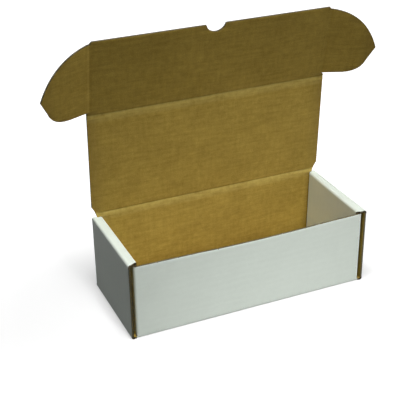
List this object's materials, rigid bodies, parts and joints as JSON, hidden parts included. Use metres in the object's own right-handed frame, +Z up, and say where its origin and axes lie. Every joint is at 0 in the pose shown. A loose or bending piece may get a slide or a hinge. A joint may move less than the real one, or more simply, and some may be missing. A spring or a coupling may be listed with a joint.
{
  "type": "card storage box",
  "caption": "Long corrugated board box for playing-card-size cards, folded from one sheet, with rolled double side walls and a hinged lid whose front flap tucks in by two ears.",
  "frame": {"origin": "middle of the base, on the surface that the box stands on", "axes": "+Z up, -Y the front of the box, +X to the right along its length"},
  "size_m": [0.3292, 0.098, 0.2517],
  "materials": {
    "white_liner": "white-faced corrugated board, matt with a slight sheen",
    "brown_liner": "plain brown corrugated board, matt"
  },
  "bodies": {
    "tray": {"bottom_panel": "brown_liner", "front_wall": "white_liner", "back_wall": "brown_liner", "front_left_corner_flap": "white_liner", "front_right_corner_flap": "white_liner", "back_left_corner_flap": "white_liner", "back_right_corner_flap": "white_liner", "left_outer_side_wall": "white_liner", "right_outer_side_wall": "white_liner", "left_top_strip": "white_liner", "right_top_strip": "white_liner", "left_inner_side_wall": "white_liner", "right_inner_side_wall": "white_liner"},
    "lid": {"lid_panel": "brown_liner"},
    "front_flap": {"lid_front_flap": "brown_liner"},
    "left_ear_body": {"left_ear": "brown_liner"},
    "right_ear_body": {"right_ear": "brown_liner"}
  },
  "joints": [
    {"name": "lid_crease", "type": "hinge", "parent": "tray", "child": "lid", "pos_m": [0, 0.049, 0.0785], "axis": [1, 0, 0], "range_deg": [-93, 87]},
    {"name": "flap_crease", "type": "hinge", "parent": "lid", "child": "front_flap", "pos_m": [0, 0.04374, 0.17886], "axis": [1, 0, 0], "range_deg": [-9, 81]},
    {"name": "left_ear_crease", "type": "hinge", "parent": "front_flap", "child": "left_ear_body", "pos_m": [-0.1166, 0.04374, 0.17886], "axis": [0, -0.2079, 0.9781], "range_deg": [-17, 73]},
    {"name": "right_ear_crease", "type": "hinge", "parent": "front_flap", "child": "right_ear_body", "pos_m": [0.1166, 0.04374, 0.17886], "axis": [0, 0.2079, -0.9781], "range_deg": [-14.5, 75.5]}
  ]
}
